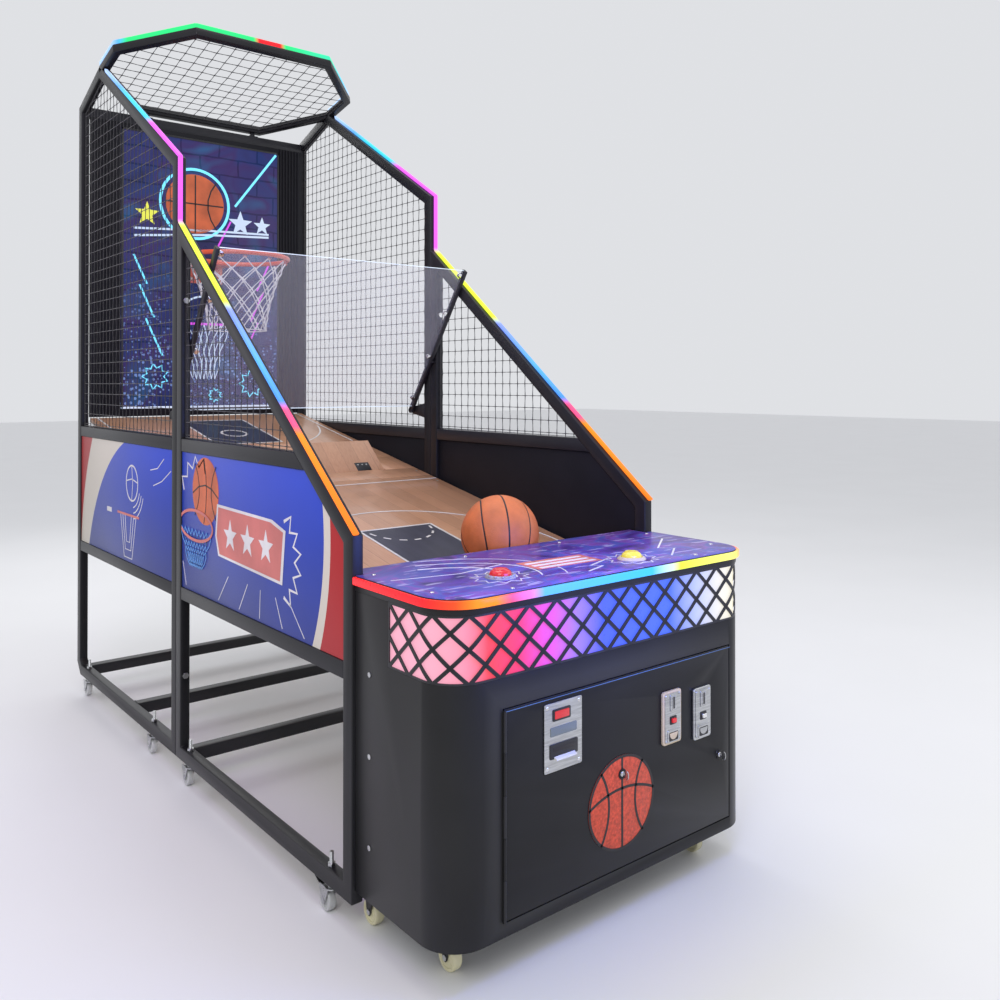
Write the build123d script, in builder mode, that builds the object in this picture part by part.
"""Coin-operated basketball hoop machine, in millimetres.

Two welded side-framed bays stand one behind the other and carry the ball ramp, the
hoop, the back wall and the netted canopy. A coin cabinet with a lattice light band
closes the front. +Z is up, the player stands at -Y and +X is at the player's right.
The origin is on the floor, under the middle of the machine.
"""

import os
from math import atan, cos, degrees, radians, sin, sqrt

from build123d import *

os.makedirs("parts", exist_ok=True)

# ---------------------------------------------------------------- overall sizes
WIDTH = 1000.0  # outer faces of the two side frames
FRONT_BAY = 1093.0  # length of the front frame
REAR_BAY = 1107.0  # length of the rear frame
CABINET_REACH = 350.0  # cabinet face ahead of the front posts
KEY_REACH = 22.0  # keys and locks ahead of the cabinet face
JOIN_GAP = 1.0  # between the two frames, back to back

HEIGHT = 2462.0  # floor to the apexes of the side frames
FRONT_POST_TOP = 898.0
REAR_POST_TOP = HEIGHT - 98.0
REAR_SHOULDER = HEIGHT - 505.0  # where the rear frame's slope starts
JOIN_TOP = REAR_SHOULDER - 207.0  # top of the sloping rail where it meets the rear frame
APEX_TOP = HEIGHT
APEX_INSET = 275.0  # apex ahead of the rear faces of the rear posts
CORNER_CUT = 45.0  # bevel at the foot of the rear posts

# ---------------------------------------------------------------- casters and fasteners
STUD = 10.0
STUD_HOLE_GAP = 0.3
NUT_FLATS = STUD + 7.0
NUT_HIGH = 8.0
STUD_PROUD = 34.0
FRAME_WHEEL = (50.0, 18.0)  # diameter, width
CABINET_WHEEL = (60.0, 22.0)
FRAME_HEAD_ROOM = 20.0  # underside of the bottom rails above the wheels
CABINET_HEAD_ROOM = 40.0
FORK_STEEL = 2.5
WHEEL_SIDE_GAP = 1.5
CASTER_TRAIL = 18.0
AXLE = 8.0
BOLT = 10.0
RAIL_BOTTOM = FRAME_WHEEL[0] + FRAME_HEAD_ROOM
BOLT_HEIGHTS = (330.0, 860.0, JOIN_TOP - 250.0)

# ---------------------------------------------------------------- frame tube
TUBE_DEEP = 40.0  # tube size in the plane of the side frame
TUBE_WIDE = 30.0  # tube size across the machine
TUBE_WALL = 2.0
UPPER_CHORD_BOTTOM = 1029.0
LOWER_CHORD_BOTTOM = 568.0

# ---------------------------------------------------------------- places along the machine
LENGTH = KEY_REACH + CABINET_REACH + FRONT_BAY + JOIN_GAP + REAR_BAY
CABINET_Y = KEY_REACH - LENGTH / 2  # cabinet face
POST_Y = CABINET_Y + CABINET_REACH  # front faces of the front posts
JOIN_Y = POST_Y + FRONT_BAY  # rear faces of the front frame
REAR_START_Y = JOIN_Y + JOIN_GAP
REAR_Y = REAR_START_Y + REAR_BAY
HALF = WIDTH / 2
INNER = HALF - TUBE_WIDE  # inner faces of the side tubes

# ---------------------------------------------------------------- walls, nets and ramp
PANEL_THICK = 15.0
PANEL_SETBACK = 4.0  # panels and nets behind the outer faces of the tubes
NET_THICK = 3.0
FIT = 0.5  # gap round a board or a sheet in its opening
BACK_WALL_THICK = 15.0
POSTER_THICK = 6.0
POSTER_WIDE = WIDTH - 300.0
POSTER_BOTTOM = 1136.0
POSTER_TOP = REAR_POST_TOP - 62.0
RAMP_THICK = 15.0
RAMP_SIDE_GAP = 2.0
RAMP_START_HEIGHT = 691.0  # top of the ramp at the cabinet's rear wall
RAMP_SLOPE = 0.196

# ---------------------------------------------------------------- hoop
HOOP_RADIUS = 200.0  # centre line of the rim
RIM_ROD = 18.0
HOOP_HEIGHT = 1751.0
HOOP_FROM_BACK = 354.0  # hoop centre ahead of the poster's face
NET_DROP = 285.0
NET_TOP_RADIUS = HOOP_RADIUS - 4.0
NET_FOOT_RADIUS = 118.0
NET_WALL = 4.0

# ---------------------------------------------------------------- canopy
CANOPY_TILT = 11.9  # degrees, rising to the front
CANOPY_TUBE = 30.0
CANOPY_SINK = 28.0  # underside of the ring below the tops of the apexes
COPE_GAP = 0.3  # between the ring and the side frames it is coped round
CANOPY_FRONT_HALF = WIDTH / 2 - 224.0  # half the front edge and half the rear edge
CANOPY_SIDE = 178.0  # length of each side edge
CANOPY_FRONT_REACH = 242.0  # front edge ahead of the side edges
CANOPY_REAR_REACH = 271.0  # rear edge behind the side edges

# ---------------------------------------------------------------- lights
STRIP_WIDE = 14.0
STRIP_HIGH = 10.0
STRIP_SETBACK = 2.0
STRIP_STOP = 64.0  # end of the rail strips ahead of the apexes

# ---------------------------------------------------------------- cabinet
CABINET_BOTTOM = CABINET_WHEEL[0] + CABINET_HEAD_ROOM
CABINET_SIDE_INSET = 10.0
CABINET_WALL = 15.0
CABINET_CORNER = 92.0
CABINET_TAIL = 60.0  # cabinet reaching back between the front posts
BAND_BOTTOM = 634.0
BAND_TOP = 775.0
BAND_SIDE_REACH = 215.0  # lattice along each side, from the cabinet's face
GRILLE_THICK = 3.0
DIFFUSER_GAP = 3.0
DIFFUSER_THICK = 4.0
DECK_THICK = 34.0
DECK_STRIP_HIGH = 18.0
DECK_STRIP_DEEP = 8.0
DECK_STRIP_DROP = 2.0  # top of the light strip below the deck's top

# ---------------------------------------------------------------- door
DOOR_LEFT = 155.0 - WIDTH / 2
DOOR_RIGHT = WIDTH / 2 - 100.0
DOOR_BOTTOM = CABINET_BOTTOM + 32.0
DOOR_TOP = BAND_BOTTOM - 66.0
DOOR_GAP = 3.0
HINGE_PIN = 3.0
HINGE_BARREL = HINGE_PIN + 4.0
HINGE_LEAF = 1.2
LEAF_GAP = 0.4  # between a leaf and the hinge's axis or the door frame
KNUCKLES = 5
KNUCKLE_GAP = 0.8
RUNNING = 0.05  # radial clearance of a pin that turns in its hole

# ---------------------------------------------------------------- door fittings
TICKET_PLATE = (111.0, 3.0, 148.0)
TICKET_BODY = (92.0, 120.0, 110.0)
TICKET_SLOT = (58.0, 8.0)
TICKET_SLOT_DROP = 8.0  # slot below the middle of the ticket plate
TICKET_PLACE = (DOOR_LEFT + 165.0, DOOR_TOP - 88.0)
COIN_PLATE = (66.0, 12.0, 127.0)
COIN_BODY = (52.0, 78.0, 104.0)
COIN_PLACES = {
    "left": (DOOR_RIGHT - 227.0, DOOR_TOP - 130.0),
    "right": (DOOR_RIGHT - 114.0, DOOR_TOP - 144.0),
}
COIN_SLOT = (5.0, 8.0, 30.0)
COIN_SLOT_RISE = 36.0  # slot above the middle of the coin plate
RETURN_POCKET = (34.0, 9.0, 22.0)
RETURN_DROP = 44.0  # pocket below the middle of the coin plate
COIN_BUTTON = (14.0, 10.0)
COIN_BUTTON_DROP = 6.0  # button below the middle of the coin plate
COIN_TRAVEL = 3.0
COIN_BUTTON_PROUD = COIN_TRAVEL + 1.0
BUTTON_GAP = 0.4
BUTTON_POCKET = 20.0
BODY_GAP = 1.0  # between a fitting's body and the sides of its hole in the door, both sides together
LOCK_PLACES = {"door_lock": (DOOR_RIGHT - 40.0, 300.0), "coin_lock": (5.0, 345.0)}
LOCK_PLUG = 12.0
LOCK_BODY = LOCK_PLUG + 7.0
LOCK_FLANGE = LOCK_BODY + 5.0
LOCK_FLANGE_THICK = 3.0
LOCK_LENGTH = 26.0
LOCK_END_GAP = 1.0  # the plug's head and the cam stand this far off the lock's body
CAM = (14.0, 3.0, 46.0)
KEY_BOW = 22.0
KEY_BOW_DEEP = 12.0
KEY_BLADE = 7.0
KEY_THICK = 2.4

# ---------------------------------------------------------------- play buttons
# Places across the deck, and behind the cabinet's face.
BUTTON_PLACES = {"red": (251.0 - WIDTH / 2, 129.0), "yellow": (WIDTH / 2 - 365.0, 90.0)}
CAP = 50.0
CAP_HIGH = 12.0
CAP_GAP = 0.6
CAP_EDGE = 10.0  # radius on the cap's upper edge
BUTTON_TRAVEL = 4.0
CAP_SKIRT = BUTTON_TRAVEL + 8.0  # cap below the deck's top, so that it stays guided when pressed
BEZEL_THROAT = CAP + 10.0
BEZEL = BEZEL_THROAT + 12.0
BEZEL_HIGH = 7.0
BEZEL_FOOT = 24.0  # threaded barrel below the deck's top

# ---------------------------------------------------------------- ball gate
GATE_WIDE = WIDTH - 336.0
GATE_LONG = 163.0
GATE_THICK = 12.0
GATE_FROM_JOIN = 110.0  # hinge line behind the join of the two frames
GATE_RAISED = 30.0  # degrees above the ramp
GATE_ROD = 6.0
GATE_GAP = 3.0
GATE_JOURNAL = 22.0  # rod beyond each end of the gate

# ---------------------------------------------------------------- clear shield
SHIELD_PIVOT_BACK = 120.0  # pivot behind the join of the two frames
SHIELD_PIVOT_HEIGHT = 1137.0
SHIELD_LEAN = 34.4  # degrees forward of upright
SHIELD_LONG = 621.0
SHIELD_THICK = 5.0
ARM_WIDE = 22.0
ARM_THICK = 12.0
ARM_SIDE_GAP = 2.0
PIVOT_PIN = 10.0

# ---------------------------------------------------------------- ball
BALL = 217.0
BALL_WALL = 4.0
BALL_X = 64.0
BALL_GAP = 0.3


def write(builder, name):
    """Labels a finished piece and writes it."""
    builder.part.label = name
    export_step(builder.part, f"parts/{name}.step")


def write_group(pieces, name):
    """Writes pieces that touch, but stay separate solids, as one node."""
    group = Compound([solid for piece in pieces for solid in piece.solids()])
    group.label = name
    export_step(group, f"parts/{name}.step")


def inset(outline, distance):
    """The corners of a counter-clockwise outline, moved inwards by a distance."""
    corners = []
    for before, here, after in zip(outline[-1:] + outline[:-1], outline, outline[1:] + outline[:1]):
        arriving = (Vector(*here) - Vector(*before)).normalized()
        leaving = (Vector(*after) - Vector(*here)).normalized()
        share = distance / (1 + arriving.dot(leaving))
        across = here[0] - (arriving.Y + leaving.Y) * share
        along = here[1] + (arriving.X + leaving.X) * share
        corners.append((across, along))
    return corners


def crossing(start, end, height):
    """The place on the line from start to end that lies at a height."""
    share = (height - start[1]) / (end[1] - start[1])
    return (start[0] + (end[0] - start[0]) * share, height)


def prism(plane, corners, thickness):
    """A flat plate with the given corners, standing up from a plane."""
    with BuildPart() as plate:
        with BuildSketch(plane):
            with BuildLine():
                Polyline(*corners, close=True)
            make_face()
        extrude(amount=thickness)
    return plate.part


def mitred_tubes(plane, outline, edges, deep, wide):
    """Hollow tubes along some edges of an outline, mitred where they meet."""
    rings = [inset(outline, distance) for distance in (0, TUBE_WALL, deep - TUBE_WALL, deep)]
    tubes = []
    for edge in edges:
        after = (edge + 1) % len(outline)
        shell = [rings[0][edge], rings[0][after], rings[3][after], rings[3][edge]]
        core = [rings[1][edge], rings[1][after], rings[2][after], rings[2][edge]]
        with BuildPart() as tube:
            with BuildSketch(plane):
                with BuildLine():
                    Polyline(*shell, close=True)
                make_face()
            extrude(amount=wide)
            with BuildSketch(plane.offset(TUBE_WALL)):
                with BuildLine():
                    Polyline(*core, close=True)
                make_face()
            extrude(amount=wide - 2 * TUBE_WALL, mode=Mode.SUBTRACT)
        tubes.append(tube.part)
    return tubes


def chord(plane, front_line, rear_line, bottom):
    """A level hollow tube between two lines of a side frame."""
    levels = (bottom, bottom + TUBE_WALL, bottom + TUBE_DEEP - TUBE_WALL, bottom + TUBE_DEEP)
    front = [crossing(*front_line, level) for level in levels]
    rear = [crossing(*rear_line, level) for level in levels]
    with BuildPart() as tube:
        with BuildSketch(plane):
            with BuildLine():
                Polyline(front[0], rear[0], rear[3], front[3], close=True)
            make_face()
        extrude(amount=TUBE_WIDE)
        with BuildSketch(plane.offset(TUBE_WALL)):
            with BuildLine():
                Polyline(front[1], rear[1], rear[2], front[2], close=True)
            make_face()
        extrude(amount=TUBE_WIDE - 2 * TUBE_WALL, mode=Mode.SUBTRACT)
    return tube.part


def cross_tube(y, z):
    """A hollow tube across the machine, between the side frames."""
    with BuildPart() as tube:
        with Locations((0, y, z)):
            Box(2 * INNER, TUBE_DEEP, TUBE_DEEP)
            Box(2 * INNER, TUBE_DEEP - 2 * TUBE_WALL, TUBE_DEEP - 2 * TUBE_WALL, mode=Mode.SUBTRACT)
    return tube.part


def drilled(piece, cutters):
    """A piece with the cutters' volume taken out of it."""
    with BuildPart() as result:
        add(piece)
        for cutter in cutters:
            add(cutter, mode=Mode.SUBTRACT)
    return result.part


def rod(start, direction, radius, length):
    """A round bar from a start point."""
    with BuildPart() as bar:
        with BuildSketch(Plane(start, z_dir=direction)):
            Circle(radius)
        extrude(amount=length)
    return bar.part


# ================================================================ side frames
REAR_OUTLINE = [
    (REAR_START_Y, RAIL_BOTTOM),
    (REAR_Y - CORNER_CUT, RAIL_BOTTOM),
    (REAR_Y, RAIL_BOTTOM + CORNER_CUT),
    (REAR_Y, REAR_POST_TOP),
    (REAR_Y - APEX_INSET, APEX_TOP),
    (REAR_START_Y, REAR_SHOULDER),
]
FRONT_OUTLINE = [
    (POST_Y, RAIL_BOTTOM),
    (JOIN_Y, RAIL_BOTTOM),
    (JOIN_Y, JOIN_TOP),
    (POST_Y, FRONT_POST_TOP),
]
REAR_WINDOW = inset(REAR_OUTLINE, TUBE_DEEP)
FRONT_WINDOW = inset(FRONT_OUTLINE, TUBE_DEEP)
SIDE_PLANES = {"left": Plane.YZ.offset(-HALF), "right": Plane.YZ.offset(INNER)}
SIDES = {"left": -1, "right": 1}
RAIL_TOP = RAIL_BOTTOM + TUBE_DEEP
RAIL_MIDDLE = RAIL_BOTTOM + TUBE_DEEP / 2
POST_LINE_X = HALF - TUBE_WIDE / 2  # middle of the posts and rails

rear_front_post = (REAR_WINDOW[0], REAR_WINDOW[5])
rear_rear_post = (REAR_WINDOW[2], REAR_WINDOW[3])
front_front_post = (FRONT_WINDOW[0], FRONT_WINDOW[3])
front_rear_post = (FRONT_WINDOW[1], FRONT_WINDOW[2])
front_slope = (FRONT_WINDOW[3], FRONT_WINDOW[2])

# ---------------------------------------------------------------- ramp plane
RAMP_START_Y = POST_Y + CABINET_TAIL
RAMP_ANGLE = degrees(atan(RAMP_SLOPE))
RAMP_DROP = RAMP_THICK * sqrt(1 + RAMP_SLOPE**2)  # the board measured straight down


def ramp_height(y):
    """Height of the ramp's top face."""
    return RAMP_START_HEIGHT + RAMP_SLOPE * (y - RAMP_START_Y)


# ---------------------------------------------------------------- caster places
FRAME_CASTERS = {
    "rear": REAR_Y - 120.0,
    "middle_rear": REAR_START_Y + 236.0,
    "middle_front": JOIN_Y - 88.0,
    "front": POST_Y + 117.0,
}
CABINET_HALF = HALF - CABINET_SIDE_INSET
# Places in from the cabinet's side, and behind its face.
CABINET_CASTERS = {"cabinet_front": (95.0, 100.0), "cabinet_rear": (60.0, 350.0)}
casters = {}
for row, caster_y in FRAME_CASTERS.items():
    for side, sign in SIDES.items():
        casters[f"{row}_{side}"] = (sign * POST_LINE_X, caster_y, RAIL_BOTTOM, TUBE_DEEP, FRAME_WHEEL)
for row, (inside, behind) in CABINET_CASTERS.items():
    for side, sign in SIDES.items():
        place = (sign * (CABINET_HALF - inside), CABINET_Y + behind)
        casters[f"{row}_{side}"] = (*place, CABINET_BOTTOM, CABINET_WALL, CABINET_WHEEL)

stud_holes = []
for x, y, mount, grip, wheel in casters.values():
    stud_holes.append(rod((x, y, mount - 1), (0, 0, 1), STUD / 2 + STUD_HOLE_GAP, grip + 2))
bolt_holes = []
for sign in SIDES.values():
    for height in BOLT_HEIGHTS:
        bolt_start = (sign * POST_LINE_X, JOIN_Y - TUBE_DEEP - 1, height)
        bolt_holes.append(rod(bolt_start, (0, 1, 0), BOLT / 2 + STUD_HOLE_GAP, 2 * TUBE_DEEP + JOIN_GAP + 2))

RELIEF = (24.0, 24.0)  # notch for a bolt's head or nut, high and deep
bolt_reliefs = []
for height in BOLT_HEIGHTS:
    with BuildPart() as relief:
        with Locations((0, JOIN_Y + JOIN_GAP / 2, height)):
            Box(2 * WIDTH, 2 * (TUBE_DEEP + RELIEF[1]), RELIEF[0])
    bolt_reliefs.append(relief.part)

# ---------------------------------------------------------------- shield pivots on the rear frame
PIVOT_Y = JOIN_Y + SHIELD_PIVOT_BACK
LUG_THICK = 6.0
LUG_HIGH = 55.0
PIN_END_X = INNER - ARM_SIDE_GAP - ARM_THICK - 1.0  # inner end of each pivot pin


def pivot_lug(sign):
    """A steel ear behind the front post of the rear frame, with the arm's pin."""
    with BuildPart() as lug:
        with BuildSketch(Plane.YZ.offset(INNER)):
            with BuildLine():
                Polyline(
                    (REAR_START_Y + TUBE_DEEP, SHIELD_PIVOT_HEIGHT - LUG_HIGH / 2),
                    (PIVOT_Y, SHIELD_PIVOT_HEIGHT - LUG_HIGH / 4),
                    (PIVOT_Y + LUG_HIGH / 4, SHIELD_PIVOT_HEIGHT),
                    (PIVOT_Y, SHIELD_PIVOT_HEIGHT + LUG_HIGH / 4),
                    (REAR_START_Y + TUBE_DEEP, SHIELD_PIVOT_HEIGHT + LUG_HIGH / 2),
                    close=True,
                )
            make_face()
        extrude(amount=LUG_THICK)
        with BuildSketch(Plane.YZ.offset(PIN_END_X)):
            with Locations((PIVOT_Y, SHIELD_PIVOT_HEIGHT)):
                Circle(PIVOT_PIN / 2)
        extrude(amount=INNER - PIN_END_X)
        if sign < 0:
            mirror(about=Plane.YZ, mode=Mode.REPLACE)
    return lug.part


# The arm's front edge rests on a peg that stands out of the front frame's rear post.
LEAN = radians(SHIELD_LEAN)
PEG = 8.0
PEG_Y = JOIN_Y - 25.0
ARM_FRONT_OFFSET = (ARM_WIDE / 2 + PEG / 2 + BALL_GAP) / cos(LEAN)
PEG_Z = SHIELD_PIVOT_HEIGHT + (PIVOT_Y - PEG_Y - ARM_FRONT_OFFSET) / sin(LEAN) * cos(LEAN)

rear_pieces = []
front_pieces = []
for side, plane in SIDE_PLANES.items():
    rear_pieces += mitred_tubes(plane, REAR_OUTLINE, range(6), TUBE_DEEP, TUBE_WIDE)
    rear_pieces.append(chord(plane, rear_front_post, rear_rear_post, UPPER_CHORD_BOTTOM))
    rear_pieces.append(chord(plane, rear_front_post, rear_rear_post, LOWER_CHORD_BOTTOM))
    front_pieces += mitred_tubes(plane, FRONT_OUTLINE, range(4), TUBE_DEEP, TUBE_WIDE)
    front_pieces.append(chord(plane, front_slope, front_rear_post, UPPER_CHORD_BOTTOM))
    front_pieces.append(chord(plane, front_front_post, front_rear_post, LOWER_CHORD_BOTTOM))
for sign in SIDES.values():
    rear_pieces.append(pivot_lug(sign))
    peg_start = (sign * INNER, PEG_Y, PEG_Z)
    front_pieces.append(rod(peg_start, (-sign, 0, 0), PEG / 2, ARM_SIDE_GAP + ARM_THICK - 1.0))

MIDDLE_CROSS = 466.0  # middle floor tube behind the join of the two frames
REAR_BEARER = 160.0  # rear ramp bearer ahead of the rear posts' rear faces
FRONT_BEARER = 240.0  # front ramp bearer behind the front posts' front faces
JOIN_BEARER = TUBE_DEEP / 2 + 8.0  # bearers each side of the join
rear_cross = [
    (REAR_Y - TUBE_DEEP / 2 - CORNER_CUT, RAIL_MIDDLE),
    (REAR_START_Y + MIDDLE_CROSS, RAIL_MIDDLE),
    (REAR_Y - TUBE_DEEP / 2, REAR_POST_TOP - TUBE_DEEP / 2),
    (REAR_Y - TUBE_DEEP / 2, LOWER_CHORD_BOTTOM + TUBE_DEEP / 2),
]
front_cross = [
    (JOIN_Y - 1.5 * TUBE_DEEP, RAIL_MIDDLE),
    (JOIN_Y - 1.5 * TUBE_DEEP, LOWER_CHORD_BOTTOM + TUBE_DEEP / 2),
]


def bearer(y):
    """A cross tube under the ramp, where its front upper edge meets the board."""
    return (y, ramp_height(y - TUBE_DEEP / 2) - RAMP_DROP - TUBE_DEEP / 2)


rear_cross += [bearer(REAR_START_Y + JOIN_BEARER), bearer(REAR_Y - REAR_BEARER)]
front_cross += [bearer(POST_Y + FRONT_BEARER), bearer(JOIN_Y - JOIN_BEARER)]
rear_pieces += [cross_tube(y, z) for y, z in rear_cross]
front_pieces += [cross_tube(y, z) for y, z in front_cross]

write_group([drilled(piece, stud_holes + bolt_holes) for piece in rear_pieces], "rear_frame")
write_group([drilled(piece, stud_holes + bolt_holes) for piece in front_pieces], "front_frame")

# ================================================================ panels and nets
PANEL_X = HALF - PANEL_SETBACK - PANEL_THICK
NET_X = HALF - TUBE_WIDE / 2 - NET_THICK / 2
UPPER_CHORD_TOP = UPPER_CHORD_BOTTOM + TUBE_DEEP
LOWER_CHORD_TOP = LOWER_CHORD_BOTTOM + TUBE_DEEP


def window_sheet(window, bottom, top, x, thickness):
    """A sheet that fills a side frame's window between two heights, on both sides."""
    with BuildPart() as sheet:
        with BuildSketch(Plane.YZ.offset(x)):
            with BuildLine():
                Polyline(*inset(window, FIT), close=True)
            make_face()
            with Locations((0, (bottom + top) / 2)):
                Rectangle(4 * LENGTH, top - bottom - 2 * FIT, mode=Mode.INTERSECT)
        extrude(amount=thickness)
        mirror(about=Plane.YZ)
    return sheet.part


panel_pieces = [
    window_sheet(REAR_WINDOW, LOWER_CHORD_TOP, UPPER_CHORD_BOTTOM, PANEL_X, PANEL_THICK),
    window_sheet(FRONT_WINDOW, LOWER_CHORD_TOP, UPPER_CHORD_BOTTOM, PANEL_X, PANEL_THICK),
]
write_group([drilled(piece, bolt_reliefs) for piece in panel_pieces], "side_panels")

# ---------------------------------------------------------------- canopy ring
# The ring's plane is its underside, sunk into the two apexes. Local x is the machine's
# x and local y runs down the tilt to the rear.
APEX_Y = REAR_Y - APEX_INSET
tilt = radians(CANOPY_TILT)
CANOPY_PLANE = Plane((0, APEX_Y, APEX_TOP - CANOPY_SINK), x_dir=(1, 0, 0), z_dir=(0, sin(tilt), cos(tilt)))
CANOPY_OUTLINE = [
    (-CANOPY_FRONT_HALF, -CANOPY_SIDE - CANOPY_FRONT_REACH),
    (CANOPY_FRONT_HALF, -CANOPY_SIDE - CANOPY_FRONT_REACH),
    (HALF, -CANOPY_SIDE),
    (HALF, 0),
    (CANOPY_FRONT_HALF, CANOPY_REAR_REACH),
    (-CANOPY_FRONT_HALF, CANOPY_REAR_REACH),
    (-HALF, 0),
    (-HALF, -CANOPY_SIDE),
]
canopy_pieces = mitred_tubes(CANOPY_PLANE, CANOPY_OUTLINE, range(8), CANOPY_TUBE, CANOPY_TUBE)
STRUT_X = CANOPY_FRONT_HALF - 40.0
STRUT = 18.0
strut_foot_y = REAR_Y - TUBE_DEEP / 2
for sign in SIDES.values():
    with BuildPart() as strut:
        with BuildSketch(Plane.XY.offset(REAR_POST_TOP)):
            with Locations((sign * STRUT_X, strut_foot_y)):
                Rectangle(STRUT, STRUT)
        extrude(amount=APEX_TOP - REAR_POST_TOP)
        split(bisect_by=Plane(CANOPY_PLANE.origin, z_dir=-CANOPY_PLANE.z_dir))
    canopy_pieces.append(strut.part)
cope_outline = inset(REAR_OUTLINE, -COPE_GAP)
cope_starts = (-HALF - 1 + COPE_GAP, INNER - COPE_GAP)
copes = [prism(Plane.YZ.offset(x), cope_outline, TUBE_WIDE + 1) for x in cope_starts]
write_group([drilled(piece, copes) for piece in canopy_pieces], "canopy_ring")

canopy_window = inset(CANOPY_OUTLINE, CANOPY_TUBE + FIT)
net_plane = CANOPY_PLANE.offset(CANOPY_TUBE / 2 - NET_THICK / 2)
net_pieces = [
    window_sheet(REAR_WINDOW, UPPER_CHORD_TOP, 2 * APEX_TOP, NET_X, NET_THICK),
    window_sheet(FRONT_WINDOW, UPPER_CHORD_TOP, 2 * APEX_TOP, NET_X, NET_THICK),
    prism(net_plane, canopy_window, NET_THICK),
]
write_group([drilled(piece, bolt_reliefs) for piece in net_pieces], "safety_nets")

# ---------------------------------------------------------------- back wall and poster
WALL_FRONT_Y = REAR_Y - TUBE_DEEP - 10.0
WALL_HALF = INNER - RAMP_SIDE_GAP
wall_bottom = ramp_height(WALL_FRONT_Y) + 3.0
wall_top = REAR_POST_TOP - TUBE_DEEP - FIT
with BuildPart() as back_wall:
    with Locations((0, WALL_FRONT_Y, wall_bottom)):
        Box(2 * WALL_HALF, BACK_WALL_THICK, wall_top - wall_bottom,
            align=(Align.CENTER, Align.MIN, Align.MIN))
write(back_wall, "back_wall")

POSTER_FACE_Y = WALL_FRONT_Y - POSTER_THICK
with BuildPart() as poster_panel:
    with Locations((0, POSTER_FACE_Y, POSTER_BOTTOM)):
        Box(POSTER_WIDE, POSTER_THICK, POSTER_TOP - POSTER_BOTTOM,
            align=(Align.CENTER, Align.MIN, Align.MIN))
write(poster_panel, "poster_panel")

# ================================================================ hoop
HOOP_Y = POSTER_FACE_Y - HOOP_FROM_BACK
BRACKET_STEEL = 6.0
BRACKET_PLATE = (160.0, 110.0)
BRACKET_DROP = 20.0  # middle of the bracket plate below the rim
RIB_DROP = 65.0
RIM_GRIP = 0.6  # the arm plate is welded this share of the rim's radius along
with BuildPart() as hoop_rim:
    with BuildSketch(Plane((0, HOOP_Y, HOOP_HEIGHT), x_dir=(0, 1, 0), z_dir=(1, 0, 0))):
        with Locations((HOOP_RADIUS, 0)):
            Circle(RIM_ROD / 2)
    revolve(axis=Axis((0, HOOP_Y, HOOP_HEIGHT), (0, 0, 1)))
    with BuildSketch(Plane.XY.offset(HOOP_HEIGHT - BRACKET_STEEL / 2)):
        with BuildLine():
            Polyline(
                (-BRACKET_PLATE[0] / 2, POSTER_FACE_Y - BRACKET_STEEL),
                (-HOOP_RADIUS * RIM_GRIP, HOOP_Y + HOOP_RADIUS * (1 - RIM_GRIP) * 2),
                (HOOP_RADIUS * RIM_GRIP, HOOP_Y + HOOP_RADIUS * (1 - RIM_GRIP) * 2),
                (BRACKET_PLATE[0] / 2, POSTER_FACE_Y - BRACKET_STEEL),
                close=True,
            )
        make_face()
        with Locations((0, HOOP_Y)):
            Circle(HOOP_RADIUS, mode=Mode.SUBTRACT)
    extrude(amount=BRACKET_STEEL)
    with Locations((0, POSTER_FACE_Y - BRACKET_STEEL, HOOP_HEIGHT - BRACKET_DROP)):
        Box(BRACKET_PLATE[0], BRACKET_STEEL, BRACKET_PLATE[1], align=(Align.CENTER, Align.MIN, Align.CENTER))
    with BuildSketch(Plane.YZ.offset(-BRACKET_STEEL / 2)):
        with BuildLine():
            Polyline(
                (POSTER_FACE_Y - BRACKET_STEEL, HOOP_HEIGHT),
                (HOOP_Y + HOOP_RADIUS + RIM_ROD, HOOP_HEIGHT),
                (POSTER_FACE_Y - BRACKET_STEEL, HOOP_HEIGHT - RIB_DROP),
                close=True,
            )
        make_face()
    extrude(amount=BRACKET_STEEL)
write(hoop_rim, "hoop_rim")

NET_TOP = HOOP_HEIGHT - RIM_ROD / 2 - 2.0
NET_SIDES = 16
with BuildPart() as hoop_net:
    with BuildSketch(Plane((0, HOOP_Y, NET_TOP))):
        RegularPolygon(NET_TOP_RADIUS, NET_SIDES)
    with BuildSketch(Plane((0, HOOP_Y, NET_TOP - NET_DROP))):
        RegularPolygon(NET_FOOT_RADIUS, NET_SIDES)
    loft()
    with BuildSketch(Plane((0, HOOP_Y, NET_TOP))):
        RegularPolygon(NET_TOP_RADIUS - NET_WALL, NET_SIDES)
    with BuildSketch(Plane((0, HOOP_Y, NET_TOP - NET_DROP))):
        RegularPolygon(NET_FOOT_RADIUS - NET_WALL, NET_SIDES)
    loft(mode=Mode.SUBTRACT)
write(hoop_net, "hoop_net")

# ================================================================ ramp and ball gate
RAMP_HALF = INNER - RAMP_SIDE_GAP
GATE_Y = JOIN_Y + GATE_FROM_JOIN
GATE_AXIS_Z = ramp_height(GATE_Y) - RAMP_DROP / 2
GATE_HALF = GATE_WIDE / 2


def ramp_board(start, end):
    """One board of the ramp, from a front edge to a rear edge."""
    corners = [
        (start, ramp_height(start) - RAMP_DROP),
        (end, ramp_height(end) - RAMP_DROP),
        (end, ramp_height(end)),
        (start, ramp_height(start)),
    ]
    return prism(Plane.YZ.offset(-RAMP_HALF), corners, 2 * RAMP_HALF)


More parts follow.
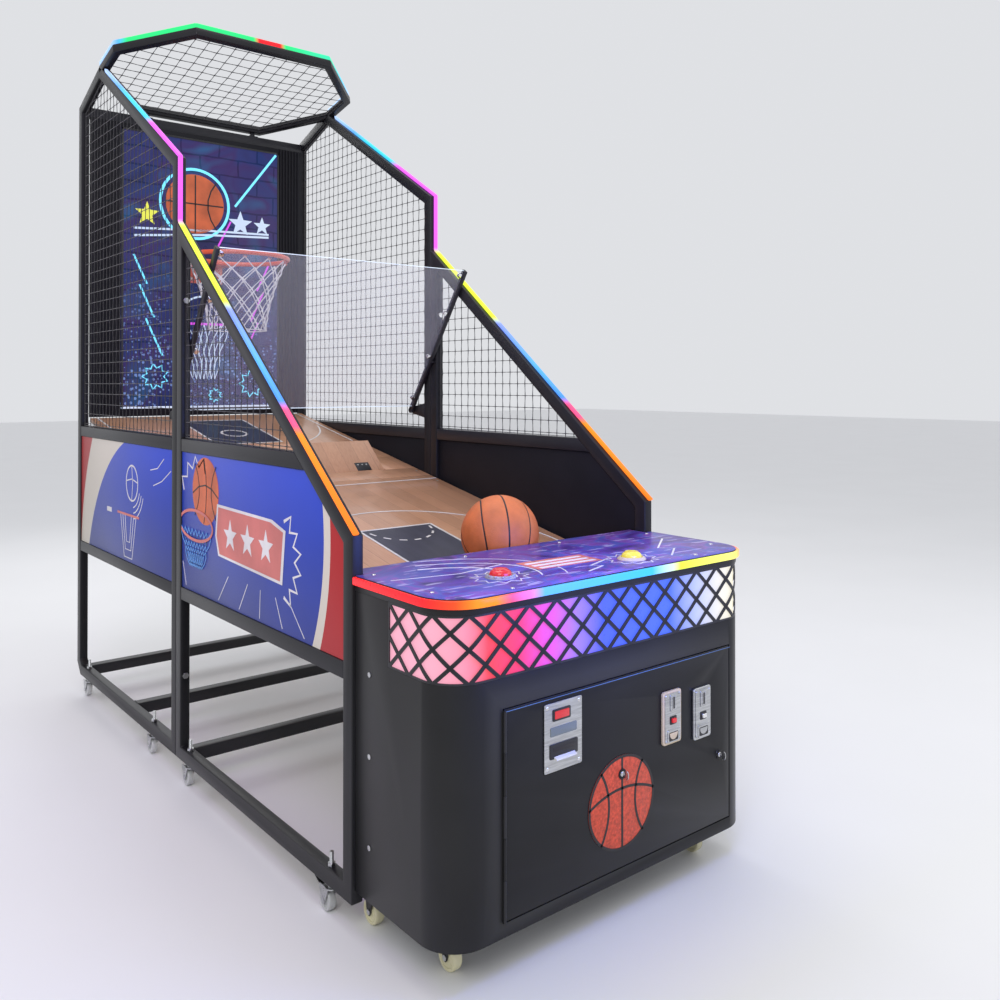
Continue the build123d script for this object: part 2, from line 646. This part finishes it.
gate_front = GATE_Y - GATE_THICK / 2 - GATE_GAP
gate_rear = GATE_Y + GATE_LONG * cos(radians(RAMP_ANGLE)) + 2 * GATE_GAP
with BuildPart() as rear_board:
    add(ramp_board(REAR_START_Y, WALL_FRONT_Y - 1.0))
    with Locations((0, (gate_front + gate_rear) / 2, GATE_AXIS_Z)):
        Box(GATE_WIDE + 2 * GATE_GAP, gate_rear - gate_front, 6 * RAMP_THICK, mode=Mode.SUBTRACT)
    with BuildSketch(Plane.YZ.offset(-GATE_HALF - GATE_JOURNAL - GATE_GAP)):
        with Locations((GATE_Y, GATE_AXIS_Z)):
            Circle(GATE_ROD / 2 + RUNNING)
    extrude(amount=2 * (GATE_HALF + GATE_JOURNAL + GATE_GAP), mode=Mode.SUBTRACT)
front_board = ramp_board(RAMP_START_Y + 1.0, JOIN_Y - FIT)
write_group([front_board, rear_board.part], "ramp")

GATE_ANGLE = radians(RAMP_ANGLE + GATE_RAISED)
with BuildPart() as ball_gate:
    gate_plane = Plane((0, GATE_Y, GATE_AXIS_Z), x_dir=(0, cos(GATE_ANGLE), sin(GATE_ANGLE)), z_dir=(1, 0, 0))
    with BuildSketch(gate_plane.offset(-GATE_HALF)):
        Circle(GATE_THICK / 2)
        with Locations((GATE_LONG / 2, 0)):
            Rectangle(GATE_LONG, GATE_THICK)
    extrude(amount=GATE_WIDE)
    with BuildSketch(gate_plane.offset(-GATE_HALF - GATE_JOURNAL)):
        Circle(GATE_ROD / 2)
    extrude(amount=GATE_WIDE + 2 * GATE_JOURNAL)
write(ball_gate, "ball_gate")

# ================================================================ clear shield
ARM_INNER_X = INNER - ARM_SIDE_GAP - ARM_THICK
shield_plane = Plane((0, PIVOT_Y, SHIELD_PIVOT_HEIGHT), x_dir=(0, -sin(LEAN), cos(LEAN)), z_dir=(1, 0, 0))
with BuildPart() as shield_arms:
    with BuildSketch(shield_plane.offset(ARM_INNER_X)):
        Circle(ARM_WIDE / 2)
        with Locations((SHIELD_LONG / 2, 0)):
            Rectangle(SHIELD_LONG, ARM_WIDE)
        Circle(PIVOT_PIN / 2 + RUNNING, mode=Mode.SUBTRACT)
    extrude(amount=ARM_THICK)
    mirror(about=Plane.YZ)
write(shield_arms, "shield_arms")

PANE_START = 20.0  # lower edge of the pane, along the arms from the pivots
with BuildPart() as shield_pane:
    with BuildSketch(shield_plane.offset(-ARM_INNER_X)):
        with Locations(((PANE_START + SHIELD_LONG) / 2, 0)):
            Rectangle(SHIELD_LONG - PANE_START, SHIELD_THICK)
    extrude(amount=2 * ARM_INNER_X)
write(shield_pane, "shield_pane")

# ================================================================ cabinet
TAIL_HALF = INNER - RAMP_SIDE_GAP
TAIL_START_Y = POST_Y - 1.0  # the wide part stops just ahead of the posts
TAIL_LAP = 50.0  # how far the tail runs into the wide part


def cabinet_outline(grow=0.0):
    """Plan of the cabinet: a wide part with round front corners and a narrower tail."""
    with BuildSketch() as plan:
        with BuildLine():
            Polyline(
                (-CABINET_HALF - grow, TAIL_START_Y),
                (-CABINET_HALF - grow, CABINET_Y - grow),
                (CABINET_HALF + grow, CABINET_Y - grow),
                (CABINET_HALF + grow, TAIL_START_Y),
                close=True,
            )
        make_face()
        fillet(plan.vertices().group_by(Axis.Y)[0], CABINET_CORNER + grow)
        tail_end = RAMP_START_Y + min(grow, 0)
        with Locations((0, tail_end)):
            Rectangle(
                2 * TAIL_HALF + 2 * min(grow, 0),
                tail_end - TAIL_START_Y + TAIL_LAP,
                align=(Align.CENTER, Align.MAX),
            )
    return plan.sketch


BAND_END_Y = CABINET_Y + BAND_SIDE_REACH
DOOR_FRAME_LEFT = DOOR_LEFT - HINGE_LEAF - 2 * LEAF_GAP
opening_wide = DOOR_RIGHT + DOOR_GAP - DOOR_FRAME_LEFT
opening_high = DOOR_TOP - DOOR_BOTTOM + 2 * DOOR_GAP
with BuildPart() as cabinet_shell:
    with BuildSketch(Plane.XY.offset(CABINET_BOTTOM)):
        add(cabinet_outline())
    extrude(amount=BAND_TOP - CABINET_BOTTOM)
    with BuildSketch(Plane.XY.offset(CABINET_BOTTOM + CABINET_WALL)):
        add(cabinet_outline(-CABINET_WALL))
    extrude(amount=BAND_TOP, mode=Mode.SUBTRACT)
    # The band for the lattice is open to the front and along part of each side.
    with Locations((0, BAND_END_Y, BAND_BOTTOM)):
        Box(2 * WIDTH, WIDTH, BAND_TOP, align=(Align.CENTER, Align.MAX, Align.MIN), mode=Mode.SUBTRACT)
    with Locations(((DOOR_FRAME_LEFT + DOOR_RIGHT + DOOR_GAP) / 2, CABINET_Y, (DOOR_BOTTOM + DOOR_TOP) / 2)):
        Box(opening_wide, 4 * CABINET_WALL, opening_high, mode=Mode.SUBTRACT)
    for hole in stud_holes:
        add(hole, mode=Mode.SUBTRACT)
write(cabinet_shell, "cabinet_shell")


def band_sheet(outside, thickness, bottom, top):
    """A sheet bent round the cabinet's front, inside the lattice band."""
    with BuildPart() as sheet:
        with BuildSketch(Plane.XY.offset(bottom)):
            add(cabinet_outline(-outside))
            add(cabinet_outline(-outside - thickness), mode=Mode.SUBTRACT)
        extrude(amount=top - bottom)
        with Locations((0, BAND_END_Y - FIT, 0)):
            Box(2 * WIDTH, 2 * WIDTH, 2 * WIDTH,
                align=(Align.CENTER, Align.MIN, Align.CENTER), mode=Mode.SUBTRACT)
    return sheet


write(band_sheet(0, GRILLE_THICK, BAND_BOTTOM + FIT, BAND_TOP - FIT), "lattice_grille")
diffuser_inset = GRILLE_THICK + DIFFUSER_GAP
write(band_sheet(diffuser_inset, DIFFUSER_THICK, BAND_BOTTOM + FIT, BAND_TOP - FIT), "lattice_diffuser")

# ---------------------------------------------------------------- deck
DECK_TOP = BAND_TOP + DECK_THICK
BUTTON_POINTS = {name: (x, CABINET_Y + behind) for name, (x, behind) in BUTTON_PLACES.items()}
BEZEL_HOLE = BEZEL_THROAT / 2 + FIT
DECK_GROW = 2.0
strip_bottom = DECK_TOP - DECK_STRIP_DROP - DECK_STRIP_HIGH
with BuildPart() as deck:
    with BuildSketch(Plane.XY.offset(BAND_TOP)):
        add(cabinet_outline(DECK_GROW))
        with Locations(*BUTTON_POINTS.values()):
            Circle(BEZEL_HOLE, mode=Mode.SUBTRACT)
    extrude(amount=DECK_THICK)
write(deck, "deck")

with BuildPart() as deck_strip:
    with BuildSketch(Plane.XY.offset(strip_bottom)):
        add(cabinet_outline(DECK_GROW + DECK_STRIP_DEEP))
        add(cabinet_outline(DECK_GROW), mode=Mode.SUBTRACT)
    extrude(amount=DECK_STRIP_HIGH)


def strip_run(plane, outline, edges):
    """Light strips standing on the outside of some edges of an outline."""
    outside = inset(outline, -STRIP_HIGH)
    strips = []
    for edge in edges:
        after = (edge + 1) % len(outline)
        corners = [outline[edge], outside[edge], outside[after], outline[after]]
        strips.append(prism(plane, corners, STRIP_WIDE))
    return strips


strip_pieces = [deck_strip.part]
left_plane = Plane.YZ.offset(-HALF + STRIP_SETBACK)
right_plane = Plane.YZ.offset(HALF - STRIP_SETBACK - STRIP_WIDE)
# The strip climbs the front slope, the step between the frames and the rear slope.
rear_slope = (APEX_TOP - REAR_SHOULDER) / (APEX_Y - REAR_START_Y)
STRIP_OUTLINE = [
    (POST_Y, RAIL_BOTTOM),
    (APEX_Y - STRIP_STOP, RAIL_BOTTOM),
    (APEX_Y - STRIP_STOP, APEX_TOP - STRIP_STOP * rear_slope),
    (JOIN_Y, REAR_SHOULDER),
    (JOIN_Y, JOIN_TOP),
    (POST_Y, FRONT_POST_TOP),
]
for plane in (left_plane, right_plane):
    strip_pieces += strip_run(plane, STRIP_OUTLINE, (2, 3, 4))
canopy_strip_plane = CANOPY_PLANE.offset(CANOPY_TUBE)
strip_outer = inset(CANOPY_OUTLINE, STRIP_SETBACK)
strip_inner = inset(CANOPY_OUTLINE, STRIP_SETBACK + STRIP_WIDE)
for edge in (6, 7, 0, 1, 2):
    after = (edge + 1) % len(CANOPY_OUTLINE)
    quad = [strip_outer[edge], strip_outer[after], strip_inner[after], strip_inner[edge]]
    strip_pieces.append(prism(canopy_strip_plane, quad, STRIP_HIGH))
write_group(strip_pieces, "light_strips")

# ---------------------------------------------------------------- play buttons
with BuildPart() as button_bezels:
    with BuildSketch(Plane.XY.offset(DECK_TOP)):
        with Locations(*BUTTON_POINTS.values()):
            Circle(BEZEL / 2)
            Circle(CAP / 2 + CAP_GAP, mode=Mode.SUBTRACT)
    extrude(amount=BEZEL_HIGH)
    with BuildSketch(Plane.XY.offset(DECK_TOP - BEZEL_FOOT)):
        with Locations(*BUTTON_POINTS.values()):
            Circle(BEZEL_THROAT / 2)
            Circle(CAP / 2 + CAP_GAP, mode=Mode.SUBTRACT)
    extrude(amount=BEZEL_FOOT)
write(button_bezels, "button_bezels")

CAP_FOOT = DECK_TOP - CAP_SKIRT
for name, (x, y) in BUTTON_POINTS.items():
    with BuildPart() as cap:
        with BuildSketch(Plane.XY.offset(CAP_FOOT)):
            with Locations((x, y)):
                Circle(CAP / 2)
        extrude(amount=DECK_TOP + BEZEL_HIGH + CAP_HIGH - CAP_FOOT)
        fillet(cap.edges().group_by(Axis.Z)[-1], CAP_EDGE)
    write(cap, f"button_{name}")

# ================================================================ door, hinge and fittings
HINGE_PROUD = 0.5  # gap between the barrel and the cabinet's face
HINGE_Y = CABINET_Y - HINGE_BARREL / 2 - HINGE_PROUD
knuckle_pitch = (DOOR_TOP - DOOR_BOTTOM) / KNUCKLES


def knuckles(numbers, leaf_x, leaf_end_y):
    """Hinge knuckles on one leaf, bored for the pin."""
    with BuildPart() as leaf:
        for number in numbers:
            bottom = DOOR_BOTTOM + number * knuckle_pitch + KNUCKLE_GAP / 2
            with BuildSketch(Plane.XY.offset(bottom)):
                with Locations((DOOR_LEFT, HINGE_Y)):
                    Circle(HINGE_BARREL / 2)
                with Locations((leaf_x, HINGE_Y)):
                    Rectangle(HINGE_LEAF, leaf_end_y - HINGE_Y, align=(Align.MIN, Align.MIN))
                with Locations((DOOR_LEFT, HINGE_Y)):
                    Circle(HINGE_PIN / 2 + RUNNING, mode=Mode.SUBTRACT)
            extrude(amount=knuckle_pitch - KNUCKLE_GAP)
    return leaf.part


LEAF_END_Y = CABINET_Y + CABINET_WALL - 1.0
door_numbers = range(1, KNUCKLES, 2)
frame_numbers = range(0, KNUCKLES, 2)
PANEL_LEFT = DOOR_LEFT + LEAF_GAP + HINGE_LEAF
face_plane = Plane((0, CABINET_Y, 0), x_dir=(1, 0, 0), z_dir=(0, -1, 0))
with BuildPart() as door_panel:
    with Locations((PANEL_LEFT, CABINET_Y, DOOR_BOTTOM)):
        Box(DOOR_RIGHT - PANEL_LEFT, CABINET_WALL, DOOR_TOP - DOOR_BOTTOM,
            align=(Align.MIN, Align.MIN, Align.MIN))
    add(knuckles(door_numbers, DOOR_LEFT + LEAF_GAP, LEAF_END_Y))
    with Locations((TICKET_PLACE[0], CABINET_Y, TICKET_PLACE[1])):
        Box(TICKET_BODY[0] + BODY_GAP, 4 * CABINET_WALL, TICKET_BODY[2] + BODY_GAP, mode=Mode.SUBTRACT)
    for x, z in COIN_PLACES.values():
        with Locations((x, CABINET_Y, z)):
            Box(COIN_BODY[0] + BODY_GAP, 4 * CABINET_WALL, COIN_BODY[2] + BODY_GAP, mode=Mode.SUBTRACT)
    with BuildSketch(face_plane):
        with Locations(*LOCK_PLACES.values()):
            Circle(LOCK_BODY / 2)
    extrude(amount=-4 * CABINET_WALL, mode=Mode.SUBTRACT)

with BuildPart() as lock_bodies:
    with BuildSketch(face_plane):
        with Locations(*LOCK_PLACES.values()):
            Circle(LOCK_FLANGE / 2)
            Circle(LOCK_PLUG / 2 + RUNNING, mode=Mode.SUBTRACT)
    extrude(amount=LOCK_FLANGE_THICK)
    with BuildSketch(face_plane):
        with Locations(*LOCK_PLACES.values()):
            Circle(LOCK_BODY / 2)
            Circle(LOCK_PLUG / 2 + RUNNING, mode=Mode.SUBTRACT)
    extrude(amount=-LOCK_LENGTH)
write_group([door_panel.part, lock_bodies.part], "front_door")

lock_head = LOCK_FLANGE_THICK + LOCK_END_GAP
for name, (x, z) in LOCK_PLACES.items():
    with BuildPart() as lock:
        with BuildSketch(face_plane.offset(lock_head)):
            with Locations((x, z)):
                Circle(LOCK_PLUG / 2)
        extrude(amount=-lock_head - LOCK_LENGTH - LOCK_END_GAP)
        # The cam behind the door hangs down, unlocked, and turns with the key.
        with Locations((x, CABINET_Y + LOCK_LENGTH + LOCK_END_GAP, z + CAM[0] / 2)):
            Box(*CAM, align=(Align.CENTER, Align.MIN, Align.MAX))
        with Locations((x, CABINET_Y - lock_head, z)):
            Box(KEY_THICK, KEY_REACH - lock_head, KEY_BLADE, align=(Align.CENTER, Align.MAX, Align.CENTER))
        with Locations((x, CABINET_Y - KEY_REACH, z)):
            Box(KEY_THICK, KEY_BOW_DEEP, KEY_BOW, align=(Align.CENTER, Align.MIN, Align.CENTER))
    write(lock, name)

with BuildPart() as hinge_pin:
    with BuildSketch(Plane.XY.offset(DOOR_BOTTOM)):
        with Locations((DOOR_LEFT, HINGE_Y)):
            Circle(HINGE_PIN / 2)
    extrude(amount=DOOR_TOP - DOOR_BOTTOM)
frame_leaf = knuckles(frame_numbers, DOOR_FRAME_LEFT, LEAF_END_Y)
write_group([frame_leaf, hinge_pin.part], "door_hinge")

# ---------------------------------------------------------------- ticket dispenser
with BuildPart() as ticket_plate:
    with Locations((TICKET_PLACE[0], CABINET_Y, TICKET_PLACE[1])):
        Box(*TICKET_PLATE, align=(Align.CENTER, Align.MAX, Align.CENTER))
        with Locations((0, 0, -TICKET_SLOT_DROP)):
            Box(TICKET_SLOT[0], 4 * TICKET_PLATE[1], TICKET_SLOT[1], mode=Mode.SUBTRACT)
with BuildPart() as ticket_unit:
    with Locations((TICKET_PLACE[0], CABINET_Y, TICKET_PLACE[1])):
        Box(*TICKET_BODY, align=(Align.CENTER, Align.MIN, Align.CENTER))
write_group([ticket_plate.part, ticket_unit.part], "ticket_dispenser")

# ---------------------------------------------------------------- coin acceptors
coin_pieces = []
for side, (x, z) in COIN_PLACES.items():
    with BuildPart() as acceptor:
        with Locations((x, CABINET_Y, z)):
            Box(*COIN_PLATE, align=(Align.CENTER, Align.MAX, Align.CENTER))
            Box(*COIN_BODY, align=(Align.CENTER, Align.MIN, Align.CENTER))
        with Locations((x, CABINET_Y - COIN_PLATE[1], z + COIN_SLOT_RISE)):
            Box(*COIN_SLOT, align=(Align.CENTER, Align.MIN, Align.CENTER), mode=Mode.SUBTRACT)
        with Locations((x, CABINET_Y - COIN_PLATE[1], z - RETURN_DROP)):
            Box(*RETURN_POCKET, align=(Align.CENTER, Align.MIN, Align.CENTER), mode=Mode.SUBTRACT)
        with Locations((x, CABINET_Y - COIN_PLATE[1], z - COIN_BUTTON_DROP)):
            Box(COIN_BUTTON[0] + 2 * BUTTON_GAP, BUTTON_POCKET, COIN_BUTTON[1] + 2 * BUTTON_GAP,
                align=(Align.CENTER, Align.MIN, Align.CENTER), mode=Mode.SUBTRACT)
    coin_pieces.append(acceptor.part)
    with BuildPart() as coin_button:
        with Locations((x, CABINET_Y - COIN_PLATE[1] - COIN_BUTTON_PROUD, z - COIN_BUTTON_DROP)):
            Box(COIN_BUTTON[0], BUTTON_POCKET - COIN_TRAVEL, COIN_BUTTON[1],
                align=(Align.CENTER, Align.MIN, Align.CENTER))
    write(coin_button, f"coin_button_{side}")
write_group(coin_pieces, "coin_acceptors")

# ================================================================ inside the cabinet
CABINET_FLOOR = CABINET_BOTTOM + CABINET_WALL
COIN_BOX = (210.0, 150.0, 110.0)
COIN_BOX_WALL = 1.5
COIN_BOX_BACK = CABINET_WALL + 45.0  # front of the box behind the cabinet's face
coin_box_x = (COIN_PLACES["left"][0] + COIN_PLACES["right"][0]) / 2
with BuildPart() as coin_box:
    with Locations((coin_box_x, CABINET_Y + COIN_BOX_BACK, CABINET_FLOOR)):
        Box(*COIN_BOX, align=(Align.CENTER, Align.MIN, Align.MIN))
    top_face = coin_box.faces().sort_by(Axis.Z)[-1]
    offset(amount=-COIN_BOX_WALL, openings=top_face)
write(coin_box, "coin_box")

TRAY = (300.0, 110.0, 2.0)
TRAY_PLACE = (-90.0, CABINET_Y + 290.0)
SUPPLY = (110.0, 90.0, 48.0)
SUPPLY_RIGHT = 80.0  # middle of the supply right of the tray's middle
BOARD = (140.0, 95.0, 1.6)
BOARD_LEFT = 70.0  # middle of the board left of the tray's middle
SPACER = (3.0, 8.0)  # radius and height of the board's spacers
SPACER_INSET = 8.0  # spacers in from the board's edges
CHIP = (30.0, 30.0, 4.0)
with BuildPart() as tray:
    with Locations((*TRAY_PLACE, CABINET_FLOOR)):
        Box(*TRAY, align=(Align.CENTER, Align.CENTER, Align.MIN))
with BuildPart() as supply:
    with Locations((TRAY_PLACE[0] + SUPPLY_RIGHT, TRAY_PLACE[1], CABINET_FLOOR + TRAY[2])):
        Box(*SUPPLY, align=(Align.CENTER, Align.CENTER, Align.MIN))
with BuildPart() as control_board:
    board_bottom = CABINET_FLOOR + TRAY[2] + SPACER[1]
    with Locations((TRAY_PLACE[0] - BOARD_LEFT, TRAY_PLACE[1], board_bottom)):
        Box(*BOARD, align=(Align.CENTER, Align.CENTER, Align.MIN))
        with GridLocations(BOARD[0] - 2 * SPACER_INSET, BOARD[1] - 2 * SPACER_INSET, 2, 2):
            Cylinder(*SPACER, align=(Align.CENTER, Align.CENTER, Align.MAX))
        with Locations((0, 0, BOARD[2])):
            Box(*CHIP, align=(Align.CENTER, Align.CENTER, Align.MIN))
write_group([tray.part, supply.part, control_board.part], "electronics_tray")

# The mains inlet sits on the rear rail's cross tube, where the supply comes in.
INLET = (48.0, 22.0, 28.0)
INLET_WALL = 4.0
INLET_X = INNER - 140.0
inlet_y, inlet_z = rear_cross[3]
socket = [size - 2 * INLET_WALL for size in INLET]
with BuildPart() as power_inlet:
    with Locations((INLET_X, inlet_y - TUBE_DEEP / 2 - INLET[1] / 2, inlet_z)):
        Box(*INLET)
        Box(*socket, align=(Align.CENTER, Align.MIN, Align.CENTER), mode=Mode.SUBTRACT)
write(power_inlet, "power_inlet")

# ================================================================ ball
BALL_RADIUS = BALL / 2
ball_y = RAMP_START_Y + BALL_RADIUS + BALL_GAP
ball_z = ramp_height(ball_y) + (BALL_RADIUS + BALL_GAP) * sqrt(1 + RAMP_SLOPE**2)
with BuildPart() as basketball:
    with Locations((BALL_X, ball_y, ball_z)):
        Sphere(BALL_RADIUS)
        Sphere(BALL_RADIUS - BALL_WALL, mode=Mode.SUBTRACT)
write(basketball, "basketball")

# ================================================================ casters
PLATE_STEEL = 3.0
BOLT_PROUD = 6.0  # section bolts beyond their nuts
HEAD = 30.0
EAR = 18.0  # fork cheeks reach this far behind the axle
BRAKED = ("front_left", "front_right")
PEDAL_PIN = 4.0
PEDAL_BACK = 13.0  # pedal pin behind the axle
PEDAL_DROP = 4.0  # pedal pin below the fork's top plate
FORK_NUT_GAP = 1.0  # between the fork and the nut above it
RIVET = (7.0, 2.9)  # radius and thickness of the stud's head under the fork
RIVET_GAP = 0.3
fasteners = []


def plate_bottom(mount):
    """Underside of the top plate of a fork that hangs below a mounting face."""
    return mount - NUT_HIGH - PLATE_STEEL - FORK_NUT_GAP


for name, (x, y, mount, grip, (wheel_size, wheel_wide)) in casters.items():
    wheel_z = wheel_size / 2
    wheel_y = y + CASTER_TRAIL
    plate_z = plate_bottom(mount)
    inside = wheel_wide / 2 + WHEEL_SIDE_GAP
    with BuildPart() as fork:
        with BuildSketch(Plane.XY.offset(plate_z)):
            with Locations((x, y)):
                Circle(HEAD / 2)
            with Locations((x, y + CASTER_TRAIL / 2)):
                Rectangle(2 * (inside + FORK_STEEL), CASTER_TRAIL + 10)
            with Locations((x, y)):
                Circle(STUD / 2 + RUNNING, mode=Mode.SUBTRACT)
        extrude(amount=PLATE_STEEL)
        for leg_x in (x - inside - FORK_STEEL, x + inside):
            with BuildSketch(Plane.YZ.offset(leg_x)):
                with BuildLine():
                    Polyline(
                        (y - 5, plate_z + PLATE_STEEL),
                        (wheel_y - AXLE, wheel_z - 2),
                        (wheel_y - AXLE / 2, wheel_z - AXLE),
                        (wheel_y + AXLE / 2, wheel_z - AXLE),
                        (wheel_y + AXLE, wheel_z - 2),
                        (wheel_y + EAR, plate_z - EAR / 2),
                        (wheel_y + EAR, plate_z + PLATE_STEEL),
                        close=True,
                    )
                make_face()
            extrude(amount=FORK_STEEL)
        with BuildSketch(Plane.YZ.offset(x - inside - FORK_STEEL)):
            with Locations((wheel_y, wheel_z)):
                Circle(AXLE / 2)
        extrude(amount=2 * (inside + FORK_STEEL))
        if name in BRAKED:
            with BuildSketch(Plane.YZ.offset(x - inside - FORK_STEEL)):
                with Locations((wheel_y + PEDAL_BACK, plate_z - PEDAL_DROP)):
                    Circle(PEDAL_PIN / 2)
            extrude(amount=2 * (inside + FORK_STEEL))
    write(fork, f"fork_{name}")
    with BuildPart() as wheel:
        with BuildSketch(Plane.YZ.offset(x - wheel_wide / 2)):
            with Locations((wheel_y, wheel_z)):
                Circle(wheel_size / 2)
                Circle(AXLE / 2 + RUNNING, mode=Mode.SUBTRACT)
        extrude(amount=wheel_wide)
    write(wheel, f"wheel_{name}")
    # A threaded stud with a rivet head under the fork, a nut below and a nut above.
    with BuildPart() as stud:
        with BuildSketch(Plane.XY.offset(plate_z - RIVET_GAP)):
            with Locations((x, y)):
                Circle(STUD / 2)
        extrude(amount=mount + grip + STUD_PROUD - plate_z + RIVET_GAP)
        with BuildSketch(Plane.XY.offset(plate_z - RIVET_GAP)):
            with Locations((x, y)):
                Circle(RIVET[0])
        extrude(amount=-RIVET[1])
        for nut_bottom in (mount - NUT_HIGH, mount + grip):
            with BuildSketch(Plane.XY.offset(nut_bottom)):
                with Locations((x, y)):
                    RegularPolygon(NUT_FLATS / 2, 6, major_radius=False)
            extrude(amount=NUT_HIGH)
    fasteners.append(stud.part)

for sign in SIDES.values():
    for height in BOLT_HEIGHTS:
        with BuildPart() as bolt:
            for start in (JOIN_Y - TUBE_DEEP - NUT_HIGH, REAR_START_Y + TUBE_DEEP):
                with BuildSketch(Plane((0, start, 0), x_dir=(1, 0, 0), z_dir=(0, 1, 0))):
                    with Locations((sign * POST_LINE_X, -height)):
                        RegularPolygon(NUT_FLATS / 2, 6, major_radius=False)
                extrude(amount=NUT_HIGH)
            shank_start = (0, JOIN_Y - TUBE_DEEP - NUT_HIGH / 2, 0)
            with BuildSketch(Plane(shank_start, x_dir=(1, 0, 0), z_dir=(0, 1, 0))):
                with Locations((sign * POST_LINE_X, -height)):
                    Circle(BOLT / 2)
            extrude(amount=2 * TUBE_DEEP + JOIN_GAP + 1.5 * NUT_HIGH + BOLT_PROUD)
        fasteners.append(bolt.part)
write_group(fasteners, "fasteners")

# ---------------------------------------------------------------- brake pedals
PEDAL_HUB = 9.0
PEDAL_LONG = 38.0
PEDAL_THICK = 3.0
PEDAL_UP = 25.0  # degrees above level while the brake is off
PEDAL_SIDE_GAP = 0.5
for name in BRAKED:
    x, y, mount, grip, (wheel_size, wheel_wide) = casters[name]
    plate_z = plate_bottom(mount)
    half = wheel_wide / 2 + WHEEL_SIDE_GAP - PEDAL_SIDE_GAP
    pin = (y + CASTER_TRAIL + PEDAL_BACK, plate_z - PEDAL_DROP)
    rise = radians(PEDAL_UP)
    pedal_plane = Plane((x - half, *pin), x_dir=(0, cos(rise), sin(rise)), z_dir=(1, 0, 0))
    with BuildPart() as pedal:
        with BuildSketch(pedal_plane):
            Circle(PEDAL_HUB / 2)
            with Locations((0, -PEDAL_HUB / 2)):
                Rectangle(PEDAL_LONG, PEDAL_THICK, align=(Align.MIN, Align.MIN))
            Circle(PEDAL_PIN / 2 + RUNNING, mode=Mode.SUBTRACT)
        extrude(amount=2 * half)
    write(pedal, f"brake_pedal_{name}")
